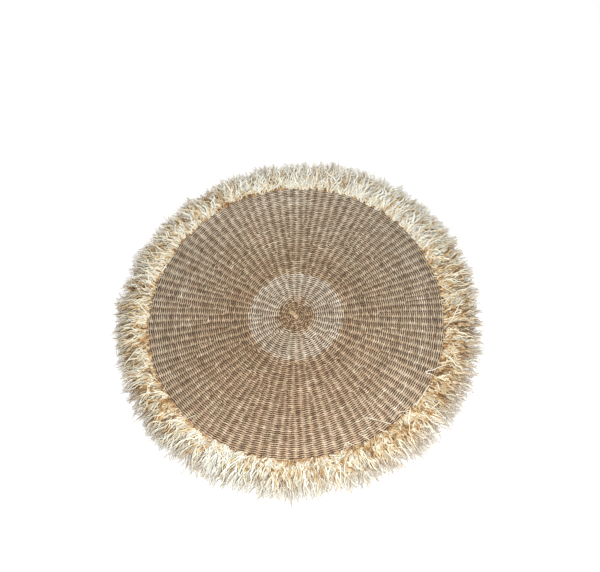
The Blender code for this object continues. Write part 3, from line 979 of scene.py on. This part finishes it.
angles, points, edges = rim_circle(CARRIER_STEPS, CARRIER_OUTSET, CARRIER_MIDDLE)
guide = guide_line(
    "carrier_line",
    points,
    edges,
    thickness=[fringe_random.uniform(0.85, 1.05) for angle in angles],
    along=[0.1] * CARRIER_STEPS,
    tone=[fringe_random.uniform(0.35, 0.75) for angle in angles],
    number=[4.0 * math.sin(angle) for angle in angles],
)
carrier_hank = made_by(plain_cord, "carrier_hank", guide, **CARRIER, Finish=raffia_strip)
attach(carrier_hank, "root")
points, edges, thickness, along, tone, number = [], [], [], [], [], []
for loop in range(ARCS * TUFTS_PER_ARC * LOOPS_PER_TUFT):
    tuft_place = (loop // LOOPS_PER_TUFT + 0.5) / (ARCS * TUFTS_PER_ARC)
    angle = math.tau * tuft_place + fringe_random.uniform(-LOOP_SCATTER, LOOP_SCATTER)
    skew = fringe_random.uniform(-LOOP_SKEW, LOOP_SKEW)
    outset = reach_at(angle)[1] + fringe_random.uniform(*LOOP_OUTSETS)
    edges += chain(len(LOOP_PLACES), len(points))
    tone += [fringe_random.uniform(*LOOP_TONES)] * len(LOOP_PLACES)
    number += [fringe_random.uniform(0.0, 100.0)] * len(LOOP_PLACES)
    for step, (place, height) in enumerate(LOOP_PLACES):
        share = step / (len(LOOP_PLACES) - 1)
        height += fringe_random.uniform(-0.6, 0.6)
        points.append(beside_middle(angle + skew * share, rim_radius(angle) + outset + place, height / 1000))
        thickness.append(fringe_random.uniform(0.7, 1.1) * (LOOP_END if share in (0.0, 1.0) else 1.0))
        along.append(0.1 * share)
guide = guide_line("loop_lines", points, edges, thickness=thickness, along=along, tone=tone, number=number)
root_loops = made_by(plain_cord, "root_loops", guide, **LOOP, Finish=raffia_strip)
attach(root_loops, "root")

# Stray strands. A few raffia strips lie the wrong way: over the mat's edge at the lower right, across the
# fringe on the right, where some are brown, and out on the floor in front. Each keeps its listed path:
# places with their radius as a share of the mat's, their direction in degrees and their height in mm.
Stray = namedtuple("Stray", "name width tone path")
STRAYS = (
    Stray("corner_twist", 0.0036, 0.20, (
        (1.009, 320.2, 16), (1.012, 315.6, 15), (1.027, 313.5, 14), (1.045, 312.4, 14),
        (1.024, 309.3, 13), (0.975, 305.6, 12.4), (0.967, 303.5, 12), (0.975, 300.3, 12),
    )),
    Stray("long_slant", 0.0034, 0.15, (
        (0.994, 299.6, 14), (0.902, 295.7, 11.6), (0.868, 293.2, 11.4), (0.863, 291.0, 11.2),
    )),
    Stray("short_slant", 0.0032, 0.25, ((1.030, 297.0, 15), (0.988, 295.3, 12), (0.934, 293.4, 11.4))),
    Stray("bottom_slant", 0.0032, 0.20, ((1.010, 289.9, 14), (0.963, 288.4, 11.8), (0.931, 287.3, 11.4))),
    Stray("bottom_loop", 0.0034, 0.20, (
        (1.020, 284.9, 14), (0.966, 282.2, 12), (0.967, 281.0, 12.4), (1.012, 279.4, 14),
    )),
    Stray("white_loop", 0.0036, 0.05, (
        (1.023, 324.2, 16), (0.991, 324.5, 13.4), (0.951, 324.3, 12), (0.959, 325.5, 13),
        (0.986, 326.4, 16), (1.024, 328.5, 22), (1.066, 330.1, 26), (1.108, 329.5, 24),
    )),
    Stray("small_loop", 0.0032, 0.15, (
        (1.011, 315.2, 16), (1.013, 312.7, 15), (1.009, 310.8, 14), (1.012, 309.2, 14),
    )),
    Stray("fringe_crosser", 0.0040, 0.10, ((1.126, 316.2, 25), (1.112, 313.3, 27), (1.096, 309.2, 22))),
    Stray("pale_drop", 0.0040, 0.05, ((1.046, 322.4, 22), (1.070, 320.9, 27), (1.089, 319.8, 24))),
    Stray("brown_loop", 0.0046, 0.80, (
        (0.992, 320.3, 13), (1.016, 322.6, 20), (1.071, 322.2, 24), (1.100, 319.6, 22), (1.072, 317.4, 18),
    )),
    Stray("front_strand", 0.0036, 0.90, (
        (1.100, 268.9, 16), (1.190, 268.6, 6), (1.250, 267.4, 2.5), (1.292, 266.6, 2.0),
    )),
    Stray("pale_crosser", 0.0038, 0.15, (
        (1.141, 356.0, 24), (1.099, 354.6, 27), (1.071, 352.3, 29), (1.048, 349.7, 28),
        (1.020, 346.7, 25), (0.972, 343.0, 16),
    )),
    Stray("brown_twist", 0.0052, 0.98, (
        (0.976, 342.7, 15), (1.004, 344.7, 21), (1.030, 345.8, 25), (1.066, 346.7, 27),
        (1.104, 346.7, 26), (1.144, 347.2, 22),
    )),
    Stray("brown_blade", 0.0064, 0.90, (
        (1.071, 352.0, 26), (1.106, 353.0, 27), (1.140, 354.2, 26), (1.178, 354.3, 20),
    )),
    Stray("dark_blade", 0.0060, 1.10, ((1.088, 349.8, 26), (1.113, 350.7, 26), (1.152, 351.7, 22))),
    Stray("right_tip", 0.0030, 0.60, ((1.162, 340.5, 12), (1.220, 341.0, 7), (1.259, 340.4, 4))),
    Stray("corner_tip", 0.0028, 0.60, ((1.145, 315.5, 14), (1.202, 315.7, 8), (1.275, 315.2, 3))),
    Stray("side_tip", 0.0028, 0.60, ((1.152, 323.0, 14), (1.194, 323.2, 8), (1.246, 323.7, 5))),
    Stray("far_tip", 0.0028, 0.60, ((1.087, 7.0, 14), (1.136, 7.0, 8), (1.196, 7.3, 5))),
    Stray("left_tuft", 0.0036, 0.15, ((1.015, 203.5, 14), (0.985, 202.4, 12), (0.962, 201.2, 11.4))),
    Stray("right_tuft", 0.0042, 0.10, ((1.015, 6.2, 15), (0.980, 7.0, 12.4), (0.947, 7.6, 11.4))),
    Stray("lower_left_tuft", 0.0034, 0.25, ((1.010, 217.6, 14), (0.975, 218.3, 12), (0.938, 219.4, 11.4))),
)
STRAY_THICKNESS = 0.0009
STRAY_STEPS = 5
STRAY_CRINKLE = 0.0010
STRAY_TAPER = 0.75


def smooth_path(path):
    """Points along a crinkled curve through the places of a path, with a point held at both ends."""
    places = [beside_middle(math.radians(turn), radius * MAT_RADIUS, up / 1000) for radius, turn, up in path]
    held = [places[0]] + places + [places[-1]]
    smooth = []
    for before, start, end, after in zip(held, held[1:], held[2:], held[3:]):
        for step in range(STRAY_STEPS):
            u = step / STRAY_STEPS
            bend = (2 * before - 5 * start + 4 * end - after) * u * u
            bend += (3 * start - before - 3 * end + after) * u * u * u
            aside = Vector((fringe_random.uniform(-1, 1), fringe_random.uniform(-1, 1), 0.0))
            smooth.append(start + 0.5 * (u * (end - before) + bend) + aside * STRAY_CRINKLE)
    return smooth + [places[-1]]


for stray in STRAYS:
    path = smooth_path(stray.path)
    shares = [step / (len(path) - 1) for step in range(len(path))]
    guide = guide_line(
        "stray_line",
        path,
        chain(len(path)),
        thickness=[1.0 - STRAY_TAPER * share**4 for share in shares],
        along=[0.8 * share for share in shares],
        tone=[stray.tone] * len(path),
        number=[10.0 * len(stray.name) + stray.width * 1000] * len(path),
    )
    sizes = {"Width": stray.width, "Height": STRAY_THICKNESS, "Sides": 6}
    strand = made_by(plain_cord, f"stray_{stray.name}", guide, **sizes, Finish=raffia_strip)
    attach(strand, "root")
